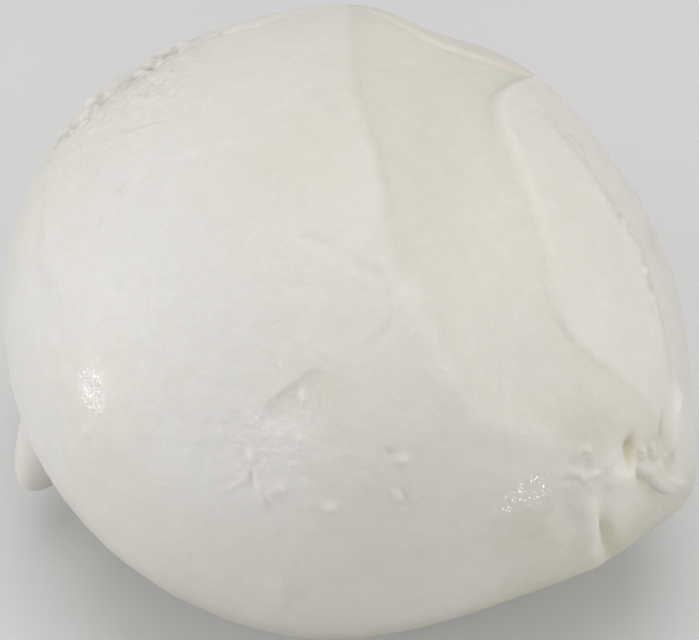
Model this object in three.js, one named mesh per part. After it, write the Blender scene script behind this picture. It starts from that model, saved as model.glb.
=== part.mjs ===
// Mozzarella ball: one lump of pulled curd of about half a kilo, set down on its underside.
// Millimetres, +Z up, the table at z = 0, the middle of the bounding box on the Z axis.
//
// A ball of mozzarella is stretched, folded over itself and pinched off while hot. So it is
// a sagging ellipsoid with a kneaded face: lapped folds of skin, a pressed panel between two
// of them, a puckered knot where the curd was pinched, and a small tail on the other side.
// The whole ball is one body, made here by moving the points of a sphere.

import * as THREE from 'three';
import { mergeVertices } from 'three/addons/utils/BufferGeometryUtils.js';

const { clamp, degToRad, euclideanModulo, smoothstep } = THREE.MathUtils;

// ---- Driving dimensions ----------------------------------------------------------------

const HALF_AXES = new THREE.Vector3(54, 53, 45); // of the ball before it is pressed
const TABLE_DROP = 38.5; // from the ball's middle down to the table it sags onto
const TABLE_SOFT = 2.2; // height over which the wall rolls into the flat underside

// The kneaded face leans back from upright. On it u runs right, v up the slope, w outwards.
const FACE_LEAN = degToRad(50);
const RIM_STEP = 20; // degrees between the radii below
const RIM = [ // radius of the ball's outline seen square to the face, anticlockwise from u
  52.6, 50.4, 49.4, 49.3, 50.6, 50.6, 51.6, 54.7, 55.6,
  55.2, 54.3, 52.9, 51.4, 50.7, 49.9, 51.4, 56.4, 55.8,
];

const FINEST = 0.9; // no groove or lump is made narrower than this, about one triangle
const DETAIL = 11; // cuts in each edge of the icosahedron that the mesh starts from
const EDGE_SHARE = 1; // longest edge on a fold 1 mm high, as a share of its narrowest width
const EDGE_GROWTH = 0.42; // how much longer an edge may be for each millimetre from a fold
const TAIL_EDGE = 1.1; // longest edge on the tail before it is pulled
const SPLIT_ROUNDS = 5; // rounds of splitting edges that are too long
const RELIEF_FROM = -12; // w where the relief of the face starts
const RELIEF_FULL = 4; // w from which it has its full height
const END_REACH = 1.5; // how far a fold runs on past its ends, unless it says so
const PIECES_PER_SPAN = 5; // straight pieces between two points of a fold line
const SEARCH_ROUNDS = 10; // rounds of the search for the point of the skin at (u, v)
const SEARCH_STEP = 0.8; // share of the miss that each round makes good
const INSIDE_RIM = 0.999; // the search stays this close inside the rim
const SWAY = 0.35; // the back is never a true ellipsoid: height of its slow swells
const SWAY_LENGTH = 14; // and their length, over 2 pi

// Where the curd lay against another surface its side is flatter.
const FLATS = [
  { towards: new THREE.Vector3(0.37, 0.93, 0), distance: 48.7, soft: 0.8 },
  { towards: new THREE.Vector3(0.8, 0.6, 0.05), distance: 48.6, soft: 1.2 },
  { towards: new THREE.Vector3(0.35, -0.94, 0), distance: 50.4, soft: 1.2 },
];

const KNOT = { at: new THREE.Vector3(50.6, -25.7, 3.8), height: 4.3, reach: 9 };
const TAIL = {
  at: new THREE.Vector3(-46.5, -16.2, -11),
  pull: new THREE.Vector3(-6.8, -11.8, -0.4),
  reach: 8.9,
  sharpness: 2, // power of the pull's fall-off: at 1 the tip is a half ellipsoid
};

// ---- Folds -----------------------------------------------------------------------------
//
// Each fold follows a line of (u, v) points laid on the ball. x is the distance from the
// line, positive on its left. ridge: a swell across the line, with its own width on each
// side, or a groove when its height is negative. lap: a layer of skin whose rounded edge is
// on the line, and which thins out over fade on its left. bell: a soft lump round the line.
// from and to are the shares of the line over which a fold starts and ends, loss is the share
// of its height that it loses on the way, and reach is how far it runs on past its ends.

const LOBE_LINE = [
  [28, 36], [23.5, 33.5], [22, 31.5], [22, 27.5], [26, 17],
  [28, 9], [29, 1], [33, -4.5], [41.5, -11], [44, -14],
];
const CREASE_LINE = [
  [40, -37.6], [38.2, -34.6], [37, -31.6], [36.2, -29.2], [36, -27.4], [36.3, -26],
];
const LIP_LINE = [
  [42.9, -21.6], [44.3, -23.2], [46, -24.9], [48.2, -25.9], [50, -25.6], [50.8, -24.2],
  [51, -22.4],
];

const FOLDS = [
  { // the panel between the apex line and the lobe is pressed in
    kind: 'ridge', height: -1.6, left: 8.5, right: 8.5, to: 0.3, reach: 6,
    line: [[13.5, 51], [12.5, 33], [15, 18], [21, -1.5], [27.5, -10], [35.5, -16.5]],
  },
  { // apex line: the skin on the left side laps over the panel
    kind: 'lap', height: 0.4, run: 1.1, fade: 6, from: 0.35,
    line: [[6, 7], [5, 11], [3.5, 21], [1, 29], [-0.5, 37], [-0.5, 48.5]],
  },
  { // below the panel a broad crest turns down into the front
    kind: 'ridge', height: 0.7, left: 3.5, right: 4, from: 0.2, to: 0.3,
    line: [[6, 7], [9, 2], [12, -5], [16.5, -11], [22, -15.5], [32, -18]],
  },
  { // a shallow valley runs along the crest
    kind: 'ridge', height: -0.35, left: 1.1, right: 1.1, from: 0.3, to: 0.4,
    line: [[10, 3], [11.5, 0], [12.5, -4.5], [14.5, -7.5]],
  },
  { // the lobe on the right: a thick fold of curd that ends in a step
    kind: 'lap', height: 1.25, run: 1, fade: 15, loss: 0.95, reach: 3,
    line: LOBE_LINE,
  },
  { // foot of that step
    kind: 'ridge', height: -0.15, left: 2.4, right: 2.4, offset: -2.2, loss: 0.95, reach: 3,
    line: LOBE_LINE,
  },
  { // outer shoulder of the lobe
    kind: 'ridge', height: 0.6, left: 1.8, right: 3, from: 0.2, to: 0.2,
    line: [[28, 30], [33, 22], [38, 15.5], [42, 9], [44, 2], [46, -5.5], [48, -10]],
  },
  { // shoulder of the left side
    kind: 'ridge', height: 0.6, left: 4, right: 1.8, from: 0.2, to: 0.4,
    line: [[-44.5, 27], [-45, 22.5], [-45, 16], [-45.5, 10.5], [-43.5, 6.5], [-37.5, -1.5]],
  },
  { // rolled edge of the skin, right of the apex
    kind: 'ridge', height: -1.1, left: 0.7, right: 0.7, from: 0.1,
    line: [[0.5, 48], [4, 47.5], [12.5, 43.5], [22, 39], [28, 37]],
  },
  { // and left of it
    kind: 'ridge', height: -1.5, left: 0.9, right: 1.2, offset: 0.6, from: 0.3, to: 0.1,
    line: [[-4, 47.5], [-10, 47], [-15.5, 45], [-22, 44], [-27.5, 41.5], [-32.5, 37],
      [-38.5, 33], [-46.5, 26]],
  },
  { // torn skin on the front: its edge stands over a shallow scar
    kind: 'lap', height: -0.45, run: 0.9, fade: 4, from: 0.45, to: 0.15,
    line: [[-0.8, -9], [-3, -8.6], [-5, -8.4], [-6.6, -9.5], [-8.9, -11.2], [-10.8, -12.9],
      [-11.5, -14.2], [-12, -16]],
  },
  { // two arcs where the skin has wrinkled
    kind: 'ridge', height: -0.2, left: 0.6, right: 0.6, from: 0.3, to: 0.3,
    line: [[-8, 10.5], [-6, 10.5], [-4, 10], [-2.5, 8.5]],
  },
  {
    kind: 'ridge', height: -0.28, left: 0.8, right: 0.8, from: 0.3, to: 0.3,
    line: [[-1.5, 7.5], [3.5, 5.5], [5.5, 0.5], [4, -3.5], [1, -5]],
  },

  // The knot: the same kinds of fold, closer together.
  { // crease below the knot, its left wall steep
    kind: 'ridge', height: -1.6, left: 0.8, right: 1.5, from: 0.75, to: 0.35, reach: 1,
    line: CREASE_LINE,
  },
  { // the curd bulges beside it
    kind: 'ridge', height: 0.7, left: 2.2, right: 2.2, offset: 2.6, from: 0.5, to: 0.2, reach: 2,
    line: CREASE_LINE,
  },
  { // furrow beside the ear
    kind: 'ridge', height: -0.4, left: 0.6, right: 0.6, from: 0.5, to: 0.3,
    line: [[46, -13.4], [45.8, -16.4], [45.8, -19.4]],
  },
  { // the thick curled lip
    kind: 'lap', height: 1.5, run: 1.3, fade: 1.8, from: 0.15, to: 0.4,
    line: LIP_LINE,
  },
  { // undercut below it
    kind: 'ridge', height: -0.5, left: 0.4, right: 1.4, offset: -1.2, from: 0.15, to: 0.75,
    line: LIP_LINE,
  },
  { // groove between the lip and the hump
    kind: 'ridge', height: -0.7, left: 0.5, right: 0.9, from: 0.3, to: 0.3,
    line: [[41.5, -21.6], [42.2, -23.4], [43.4, -25.2]],
  },
  { // pit beside the beads
    kind: 'ridge', height: -0.75, left: 1.2, right: 1.1, reach: 1.1,
    line: [[40, -19.1], [40.2, -20.8]],
  },
  { kind: 'bell', height: 1, radius: 1.5, line: [[48.7, -12.5], [47.9, -15.5], [47.8, -18.7]] }, // ear
  { kind: 'bell', height: 0.7, radius: 1.6, line: [[46.8, -23.9], [49.6, -24.4]] }, // belly of the lip
  { kind: 'bell', height: 1, radius: 2, line: [[37.9, -23.5], [39.7, -23.5]] }, // hump
  { kind: 'bell', height: -0.4, radius: 1.4, line: [[46.4, -22.2], [48.4, -21.6]] }, // pucker
  { kind: 'bell', height: -0.25, radius: 1.2, line: [[40.4, -17.8], [40.6, -18.6]] }, // above the pit
];

// Three beads of curd pressed against each other in the knot. The highest counts.
const ROLLS = [
  { height: 1, radius: 0.7, line: [[42.1, -19.6], [42.1, -20.5]] },
  { height: 0.8, radius: 0.85, line: [[44.1, -19.5], [44.1, -20.2]] },
  { height: 0.6, radius: 0.6, line: [[46, -20.5], [46, -20.7]] },
];

// ---- Helpers ---------------------------------------------------------------------------

const FACE_AXES = [
  new THREE.Vector3(1, 0, 0),
  new THREE.Vector3(0, Math.sin(FACE_LEAN), Math.cos(FACE_LEAN)),
  new THREE.Vector3(0, -Math.cos(FACE_LEAN), Math.sin(FACE_LEAN)),
];
const FACE_TO_PART = new THREE.Matrix4().makeBasis(...FACE_AXES);
const PART_TO_FACE = FACE_TO_PART.clone().transpose();

const bell = (r) => Math.exp(-r * r);
const dome = (r) => Math.sqrt(Math.max(1 - r * r, 0));
const wide = (width) => Math.max(width, FINEST);

// From 0 at -1 to 1 at 1, steep at its foot and level at its top.
function roundedStep(x) {
  const t = clamp((x + 1) / 2, 0, 1);
  return Math.sqrt(t * (2 - t));
}

// A soft max(x, 0): exactly 0 below -soft and exactly x above soft.
function softFloor(x, soft) {
  if (x <= -soft) return 0;
  if (x >= soft) return x;
  return (x + soft) ** 2 / (4 * soft);
}

// ---- Plain ball ------------------------------------------------------------------------

const rimCurve = new THREE.SplineCurve(
  [-1, ...RIM.keys(), RIM.length, RIM.length + 1].map((k) => {
    return new THREE.Vector2(k * RIM_STEP, RIM[euclideanModulo(k, RIM.length)]);
  }),
);

// Radius of the outline at an angle on the face.
function rimRadius(angle) {
  const step = euclideanModulo(THREE.MathUtils.radToDeg(angle), 360) / RIM_STEP;
  return rimCurve.getPoint((step + 1) / (RIM.length + 2)).y;
}

// Half height of the plain ellipsoid's outline on the face.
const PLAIN_RISE = Math.hypot(HALF_AXES.y * Math.sin(FACE_LEAN), HALF_AXES.z * Math.cos(FACE_LEAN));

// How much the ellipsoid is drawn out at (u, v), so that its outline becomes the rim.
function rimStretch(u, v) {
  const angle = Math.atan2(v, u);
  const plain = 1 / Math.hypot(Math.cos(angle) / HALF_AXES.x, Math.sin(angle) / PLAIN_RISE);
  const share = smoothstep(Math.hypot(u, v) / plain, 0.1, 1);
  return 1 + (rimRadius(angle) / plain - 1) * share;
}

function pressFlat(point, flat) {
  const towards = flat.towards.clone().normalize();
  const over = flat.soft * Math.log1p(Math.exp((point.dot(towards) - flat.distance) / flat.soft));
  point.addScaledVector(towards, -over);
}

// From a direction out of the ball's middle to its skin without folds, in face coordinates.
function plainSkin(direction) {
  const normal = direction.clone().divide(HALF_AXES).normalize().applyMatrix4(PART_TO_FACE);
  const point = direction.clone().multiply(HALF_AXES).applyMatrix4(PART_TO_FACE);
  const stretch = rimStretch(point.x, point.y);
  point.multiply(new THREE.Vector3(stretch, stretch, 1));
  FLATS.forEach((flat) => pressFlat(point, flat));
  point.addScaledVector(normal, KNOT.height * bell(point.distanceTo(KNOT.at) / KNOT.reach));
  return { point, normal };
}

// The direction in which the stretched ellipsoid has (u, v) on its front.
function directionTo(aim) {
  const angle = Math.atan2(aim.y, aim.x);
  const target = aim.clone().clampLength(0, rimRadius(angle) * INSIDE_RIM);
  const plain = target.clone();
  for (let round = 0; round < SEARCH_ROUNDS; round += 1) {
    plain.copy(target).divideScalar(rimStretch(plain.x, plain.y));
  }
  const [right, up, out] = FACE_AXES.map((axis) => axis.clone().divide(HALF_AXES));
  const flat = right.multiplyScalar(plain.x).addScaledVector(up, plain.y);
  const square = out.lengthSq();
  const cross = flat.dot(out);
  const w = (Math.sqrt(Math.max(cross * cross - square * (flat.lengthSq() - 1), 0)) - cross) / square;
  return flat.addScaledVector(out, w).normalize();
}

// The point of the plain skin at (u, v) on the front.
function skinAt(goal) {
  const aim = goal.clone();
  let { point } = plainSkin(directionTo(aim));
  for (let round = 0; round < SEARCH_ROUNDS; round += 1) {
    aim.x += SEARCH_STEP * (goal.x - point.x);
    aim.y += SEARCH_STEP * (goal.y - point.y);
    aim.clampLength(0, rimRadius(Math.atan2(aim.y, aim.x)));
    point = plainSkin(directionTo(aim)).point;
  }
  return point;
}

// ---- Relief ----------------------------------------------------------------------------

// Lays a fold's line on the skin, as short straight pieces.
function layFold(fold) {
  const curve = new THREE.SplineCurve(fold.line.map(([u, v]) => new THREE.Vector2(u, v)));
  const points = curve.getPoints(PIECES_PER_SPAN * (fold.line.length - 1)).map(skinAt);
  const last = points.length - 1;
  const headings = points.map((_, k) => {
    return points[Math.min(k + 1, last)].clone().sub(points[Math.max(k - 1, 0)]).normalize();
  });
  let run = 0;
  const pieces = points.slice(1).map((end, k) => {
    const along = end.clone().sub(points[k]);
    const piece = { start: points[k], along, length: along.length(), run };
    piece.headings = [headings[k], headings[k + 1]];
    run += piece.length;
    return piece;
  });
  const widths = [fold.left, fold.right, fold.run, fold.radius].filter((width) => width > 0);
  return { ...fold, pieces, length: run, narrowest: Math.min(...widths) };
}

// Where a point lies along a fold: x across it, its share of the line, how far it is past
// an end, and its gap to the line.
function placeOn(fold, point, normal) {
  const nearest = { gap: Infinity };
  fold.pieces.forEach((piece, k) => {
    const offset = point.clone().sub(piece.start);
    const ahead = offset.dot(piece.along) / piece.length ** 2;
    const on = clamp(ahead, 0, 1);
    offset.addScaledVector(piece.along, -on);
    const gap = offset.length();
    if (gap >= nearest.gap) return;
    const heading = piece.headings[0].clone().lerp(piece.headings[1], on).normalize();
    const atEnd = (k === 0 && ahead < 0) || (k === fold.pieces.length - 1 && ahead > 1);
    nearest.gap = gap;
    nearest.share = (piece.run + on * piece.length) / fold.length;
    nearest.beyond = atEnd ? Math.abs(heading.dot(offset)) : 0;
    const side = Math.sign(heading.cross(offset).dot(normal));
    nearest.x = side * Math.sqrt(Math.max(gap * gap - nearest.beyond ** 2, 0));
  });
  return nearest;
}

// 1 along a fold, fading at its start, at its end and past both.
function fading(fold, place) {
  const start = fold.from ? smoothstep(place.share, 0, fold.from) : 1;
  const end = fold.to ? smoothstep(1 - place.share, 0, fold.to) : 1;
  const loss = 1 - (fold.loss ?? 0) * place.share;
  return start * end * loss * bell(place.beyond / (fold.reach ?? END_REACH));
}

const PROFILES = {
  ridge(fold, place) {
    const x = place.x - (fold.offset ?? 0);
    return bell(x / wide(x > 0 ? fold.left : fold.right)) * fading(fold, place);
  },
  lap(fold, place) {
    const run = wide(fold.run);
    const thinning = Math.exp(-Math.max(place.x - run, 0) / fold.fade);
    return roundedStep(place.x / run) * thinning * fading(fold, place);
  },
  bell(fold, place) {
    return bell(place.gap / wide(fold.radius));
  },
};

const folds = FOLDS.map(layFold);
const rolls = ROLLS.map(layFold);

// Height of the folded skin over a point of the plain skin.
function relief(point, normal) {
  let height = 0;
  for (const fold of folds) {
    height += fold.height * PROFILES[fold.kind](fold, placeOn(fold, point, normal));
  }
  const tops = rolls.map((roll) => {
    return roll.height * dome(placeOn(roll, point, normal).gap / wide(roll.radius));
  });
  return height + Math.max(...tops);
}

// Slow swells of the sides and the back.
function swell(point) {
  const { x, y, z } = point.clone().divideScalar(SWAY_LENGTH);
  return (SWAY / 3) * (Math.sin(x + 1.3 * y) + Math.sin(y - 1.1 * z + 2) + Math.sin(z + 0.9 * x + 4));
}

// ---- The ball --------------------------------------------------------------------------

// From a direction out of the ball's middle to its folded skin, in the part's frame.
function skinPoint(direction) {
  const { point, normal } = plainSkin(direction);
  const front = smoothstep(point.z, RELIEF_FROM, RELIEF_FULL);
  const folded = front > 0 ? front * relief(point, normal) : 0;
  point.addScaledVector(normal, folded + (1 - front) * swell(point));

  const pulled = dome(point.distanceTo(TAIL.at) / TAIL.reach) ** TAIL.sharpness;
  point.addScaledVector(TAIL.pull, pulled);

  point.applyMatrix4(FACE_TO_PART);
  point.z = softFloor(point.z + TABLE_DROP, TABLE_SOFT);
  return point;
}

// ---- Mesh ------------------------------------------------------------------------------
//
// The mesh starts as an icosahedron sphere of directions. Edges that are too long for the
// folds beside them are split in the middle, a few times over.

// The longest edge allowed near a point of the plain skin.
function edgeLimit({ point, normal }) {
  const fromTail = Math.max(point.distanceTo(TAIL.at) - TAIL.reach, 0);
  const atTail = TAIL_EDGE + EDGE_GROWTH * fromTail;
  if (point.z < RELIEF_FROM) return atTail;
  const limits = [...folds, ...rolls].map((fold) => {
    const { gap } = placeOn(fold, point, normal);
    const steepness = Math.sqrt(Math.abs(fold.height));
    return (EDGE_SHARE * wide(fold.narrowest)) / steepness + EDGE_GROWTH * gap;
  });
  return Math.min(atTail, ...limits);
}

// A triangle cut at the middles of its split edges. A middle is null where an edge is whole.
function cutTriangle([a, b, c], [ab, bc, ca]) {
  const cuts = [ab, bc, ca].filter((middle) => middle !== null).length;
  if (cuts === 0) return [[a, b, c]];
  if (cuts === 3) return [[a, ab, ca], [ab, b, bc], [ca, bc, c], [ab, bc, ca]];
  if (cuts === 1 && ab !== null) return [[a, ab, c], [ab, b, c]];
  if (cuts === 2 && ca === null) return [[ab, b, bc], [a, ab, bc], [a, bc, c]];
  return cutTriangle([b, c, a], [bc, ca, ab]);
}

// One round: every edge that is too long is split, in both triangles beside it.
function splitLongEdges(directions, triangles) {
  const skins = directions.map((direction) => plainSkin(direction));
  const middles = new Map();
  const middleOf = (a, b) => {
    const key = `${Math.min(a, b)} ${Math.max(a, b)}`;
    if (!middles.has(key)) {
      const direction = directions[a].clone().add(directions[b]).normalize();
      const length = skins[a].point.distanceTo(skins[b].point);
      const tooLong = length > edgeLimit(plainSkin(direction));
      middles.set(key, tooLong ? directions.push(direction) - 1 : null);
    }
    return middles.get(key);
  };
  return triangles.flatMap(([a, b, c]) => {
    return cutTriangle([a, b, c], [middleOf(a, b), middleOf(b, c), middleOf(c, a)]);
  });
}

function ballGeometry() {
  const sphere = new THREE.IcosahedronGeometry(1, DETAIL);
  sphere.deleteAttribute('normal');
  sphere.deleteAttribute('uv');
  const start = mergeVertices(sphere, 1e-5);
  const corners = start.getAttribute('position');
  const directions = Array.from({ length: corners.count }, (_, k) => {
    return new THREE.Vector3().fromBufferAttribute(corners, k).normalize();
  });
  const order = Array.from(start.index.array);
  let triangles = Array.from({ length: order.length / 3 }, (_, k) => order.slice(3 * k, 3 * k + 3));
  for (let round = 0; round < SPLIT_ROUNDS; round += 1) {
    triangles = splitLongEdges(directions, triangles);
  }

  const geometry = new THREE.BufferGeometry().setFromPoints(directions.map(skinPoint));
  geometry.setIndex(triangles.flat());
  geometry.computeBoundingBox();
  const middle = geometry.boundingBox.getCenter(new THREE.Vector3());
  geometry.translate(-middle.x, -middle.y, 0);
  geometry.computeVertexNormals();
  return geometry;
}

const curd = new THREE.MeshStandardMaterial({ color: 0xdcdacf, roughness: 0.4, metalness: 0 });
const ball = new THREE.Mesh(ballGeometry(), curd);
ball.name = 'mozzarella_ball';

const group = new THREE.Group();
group.name = 'mozzarella';
group.add(ball);

export default group;
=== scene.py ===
# %% [markdown]
# # A ball of fresh mozzarella
#
# Mozzarella is curd that has been stretched in hot water, folded over itself like dough and
# pinched off between finger and thumb. Everything one sees on the ball comes from that: skins
# that lap over each other, a puckered knot where it was pinched, a small tail on the other
# side, and a wet, milk-white surface that sags onto the table.
#
# The lesson models it as one closed skin. A sphere of small faces is moved point by point: first
# to the plain sagging ball, then by its folds, then by the fine wrinkles and flakes of the skin.
# Sculpting by hand would also do, but named folds can be changed one at a time.

import math

import bmesh
import bpy
import numpy as np
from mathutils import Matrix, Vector, noise


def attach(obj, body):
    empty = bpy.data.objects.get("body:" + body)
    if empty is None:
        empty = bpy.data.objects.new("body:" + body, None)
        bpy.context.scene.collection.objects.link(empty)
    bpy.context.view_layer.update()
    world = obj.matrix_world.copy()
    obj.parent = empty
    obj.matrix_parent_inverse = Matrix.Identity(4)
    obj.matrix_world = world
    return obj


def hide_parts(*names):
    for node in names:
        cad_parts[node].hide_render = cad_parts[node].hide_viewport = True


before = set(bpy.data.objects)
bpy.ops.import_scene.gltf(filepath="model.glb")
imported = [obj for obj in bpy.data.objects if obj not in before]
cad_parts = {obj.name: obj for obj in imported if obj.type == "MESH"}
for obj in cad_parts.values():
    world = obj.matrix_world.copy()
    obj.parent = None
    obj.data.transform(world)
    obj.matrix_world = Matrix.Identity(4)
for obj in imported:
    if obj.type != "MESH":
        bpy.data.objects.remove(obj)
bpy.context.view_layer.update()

# %% [markdown]
# ## Sizes
#
# The real ball is about 111 mm wide. All the sizes of the form below are in millimetres,
# because that is how one thinks of a thing held in the hand, and they are turned into
# metres at the very end.
#
# The kneaded side of the ball, the face, leans back by 50 degrees. Places on it are given as
# u to the right, v up the slope, and w out of the face.

# %% The face of the ball
MM = 0.001
FACE_LEAN = math.radians(50)
FACE = np.array([
    (1, 0, 0),
    (0, math.sin(FACE_LEAN), math.cos(FACE_LEAN)),
    (0, -math.cos(FACE_LEAN), math.sin(FACE_LEAN)),
])
TABLE_DROP = 38.5  # from the ball's middle down to the table
BALL_MIDDLE = Vector((0.23, -0.1, TABLE_DROP))  # in the part's frame

# %% [markdown]
# ## Camera
#
# The camera stands square to the face, a hand's reach away. A 100 mm lens keeps the ball's
# shape free of the bulge that a wide lens gives to a thing so near.

# %% Camera
LENS, SENSOR_WIDTH = 100, 36
CAMERA_DISTANCE = 312
CAMERA_SHIFT = -0.9  # the middle of the picture lies a little down the slope
NEAREST_SEEN = 0.01  # in metres


def make_camera():
    data = bpy.data.cameras.new("camera")
    data.lens = LENS
    data.sensor_width = SENSOR_WIDTH
    data.clip_start = NEAREST_SEEN
    camera = bpy.data.objects.new("camera", data)
    bpy.context.scene.collection.objects.link(camera)
    offset = Vector(FACE[1]) * CAMERA_SHIFT + Vector(FACE[2]) * CAMERA_DISTANCE
    camera.location = (BALL_MIDDLE + offset) * MM
    camera.rotation_euler = (math.pi / 2 - FACE_LEAN, 0, 0)
    bpy.context.scene.camera = camera
    return camera


camera = make_camera()
print("camera at", tuple(round(x, 3) for x in camera.location))

# %% [markdown]
# ## The plain ball
#
# Before any fold, the ball is an ellipsoid, wider than it is high because soft curd sags. Its
# outline, seen square to the face, is uneven: its radius is given every 20 degrees and
# a smooth curve runs between. Three places are pressed flatter, where it lay against its
# neighbours, and the corner that carries the knot swells out.
#
# The functions work on whole arrays of points at once, which numpy does fast.

# %% Plain ball
HALF_AXES = np.array([54.0, 53.0, 45.0])
RIM_STEP = 20
RIM = np.array([
    52.6, 50.4, 49.4, 49.3, 50.6, 50.6, 51.6, 54.7, 55.6,
    55.2, 54.3, 52.9, 51.4, 50.7, 49.9, 51.4, 56.4, 55.8,
])
FLATS = [  # direction on the face, distance from the middle, softness
    ((0.37, 0.93, 0.0), 48.7, 0.8),
    ((0.8, 0.6, 0.05), 48.6, 1.2),
    ((0.35, -0.94, 0.0), 50.4, 1.2),
]
KNOT_AT = np.array([50.6, -25.7, 3.8])
KNOT_HEIGHT = 4.3
KNOT_REACH = 9


def bell(r):
    return np.exp(-r * r)


def dome(r):
    return np.sqrt(np.clip(1 - r * r, 0, 1))


def smooth(x, low, high):
    t = np.clip((x - low) / (high - low), 0, 1)
    return t * t * (3 - 2 * t)


def unit(rows):
    return rows / np.linalg.norm(rows, axis=-1, keepdims=True)


def length(rows):
    return np.linalg.norm(rows, axis=-1)


def catmull(p0, p1, p2, p3, t):
    """A smooth curve from p1 to p2, for t from 0 to 1."""
    bend = t * (2 * p0 - 5 * p1 + 4 * p2 - p3 + t * (3 * (p1 - p2) + p3 - p0))
    return p1 + 0.5 * t * (p2 - p0 + bend)


def rim_radius(angle):
    step = (np.degrees(angle) % 360) / RIM_STEP
    at = np.floor(step).astype(int)
    around = [RIM[(at + k) % len(RIM)] for k in (-1, 0, 1, 2)]
    return catmull(*around, step - at)


# How far up the slope the plain ellipsoid shows.
PLAIN_RISE = math.hypot(HALF_AXES[1] * math.sin(FACE_LEAN), HALF_AXES[2] * math.cos(FACE_LEAN))


def rim_stretch(u, v):
    """How far the ellipsoid is drawn out at (u, v), so that its outline becomes the rim."""
    angle = np.arctan2(v, u)
    plain = 1 / np.hypot(np.cos(angle) / HALF_AXES[0], np.sin(angle) / PLAIN_RISE)
    return 1 + (rim_radius(angle) / plain - 1) * smooth(np.hypot(u, v) / plain, 0.1, 1)


def plain_ball(directions):
    """Points and outward normals of the ball without folds, on the face's axes."""
    points = (directions * HALF_AXES) @ FACE.T
    normals = unit(directions / HALF_AXES) @ FACE.T
    points[:, :2] *= rim_stretch(points[:, 0], points[:, 1])[:, None]
    for towards, distance, soft in FLATS:
        towards = unit(np.array(towards))
        excess = soft * np.logaddexp(0, (points @ towards - distance) / soft)
        points -= excess[:, None] * towards
    bulge = KNOT_HEIGHT * bell(length(points - KNOT_AT) / KNOT_REACH)
    return points + bulge[:, None] * normals, normals


print("seen square to the face, the plain ellipsoid is", round(2 * PLAIN_RISE), "mm high")

# %% [markdown]
# ## Laying a line on the ball
#
# Folds are drawn as lines on the face, like chalk marks. To lay a mark on the ball one needs the
# point of the skin that shows at (u, v). A short search finds it: guess, see how far the skin
# misses, correct, and repeat. A handful of rounds brings it close enough.

# %% Finding the skin at a place on the face
ROUNDS_OF_SEARCH = 10
ROUNDS_OF_STRETCH = 12
LINE_STEPS = 5  # from one mark of a line to the next


def directions_to(aim):
    """Directions in which the stretched ellipsoid shows at (u, v)."""
    limit = 0.999 * rim_radius(np.arctan2(aim[:, 1], aim[:, 0]))
    aim = aim * np.minimum(1, limit / np.maximum(length(aim), 1e-9))[:, None]
    plain = aim.copy()
    for _ in range(ROUNDS_OF_STRETCH):
        plain = aim / rim_stretch(plain[:, 0], plain[:, 1])[:, None]
    right, up, out = FACE / HALF_AXES
    flat = plain[:, :1] * right + plain[:, 1:] * up
    cross = flat @ out
    depth = cross**2 - (out @ out) * ((flat**2).sum(1) - 1)
    w = (np.sqrt(np.maximum(depth, 0)) - cross) / (out @ out)
    return unit(flat + w[:, None] * out)


def skin_at(goal):
    """Points of the plain ball that show at (u, v)."""
    aim = goal.copy()
    for _ in range(ROUNDS_OF_SEARCH):
        points, _ = plain_ball(directions_to(aim))
        aim += 0.8 * (goal - points[:, :2])
        limit = rim_radius(np.arctan2(aim[:, 1], aim[:, 0]))
        aim *= np.minimum(1, limit / np.maximum(length(aim), 1e-9))[:, None]
    return points


def lay_line(marks):
    """A smooth line through (u, v) marks, laid on the skin."""
    marks = np.array(marks, float)
    ends = np.vstack([marks[:1], marks, marks[-1:]])
    t = np.linspace(0, 1, LINE_STEPS, endpoint=False)[:, None]
    spans = [catmull(*ends[k:k + 4], t) for k in range(len(marks) - 1)]
    return skin_at(np.vstack([*spans, marks[-1:]]))


print("the middle of the face is at w =", skin_at(np.zeros((1, 2)))[0, 2].round(1), "mm")

# %% [markdown]
# ## What a fold is
#
# Four kinds of fold are enough for the whole ball. A **ridge** is a swell across its line, or
# a groove when its height is negative. A **lap** is a layer of skin whose rounded edge lies on
# the line, and which thins out on its left. A **bell** is a soft lump round the line, and
# a **roll** a firm one, like a bead of curd. The folds of a ball differ only in their numbers,
# so each is a small dictionary.
#
# For each point near a line one needs to know how far it lies across the line and on which
# side, how far along it is, and how far it lies beyond an end.

# %% Where a point lies along a line
FAR_AWAY = 1e9


def place_on(line, points, normals):
    """x across the line (positive on its left), share along it, way past an end, gap to it."""
    steps = np.diff(line, axis=0)
    lengths = length(steps)
    starts = np.concatenate([[0], np.cumsum(lengths)])
    headings = unit(np.gradient(line, axis=0))
    gap = np.full(len(points), FAR_AWAY)
    x, share, beyond = (np.zeros(len(points)) for _ in range(3))
    for k, step in enumerate(steps):
        offset = points - line[k]
        on = np.clip(offset @ step / lengths[k] ** 2, 0, 1)
        offset -= on[:, None] * step
        distance = length(offset)
        nearer = distance < gap
        heading = (1 - on)[:, None] * headings[k] + on[:, None] * headings[k + 1]
        at_end = ((k == 0) & (on <= 0)) | ((k == len(steps) - 1) & (on >= 1))
        ahead = np.abs((heading * offset).sum(1)) * at_end
        side = np.sign((np.cross(heading, offset) * normals).sum(1))
        across = side * np.sqrt(np.maximum(distance**2 - ahead**2, 0))
        along = (starts[k] + on * lengths[k]) / starts[-1]
        news = ((gap, distance), (x, across), (share, along), (beyond, ahead))
        for kept, new in news:
            kept[nearer] = new[nearer]
    return x, share, beyond, gap


# %% The four kinds of fold
FINEST = 0.25  # narrower than this, a fold would fall between the points of the mesh
BELL_REACH = 3  # in widths, beyond which a bell is as good as level
LAP_REACH = 6  # the same for the thinning of a lap
USUAL_END = 1.5  # how far a fold runs on past the end of its line


def wide(width):
    return max(width, FINEST)


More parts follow.
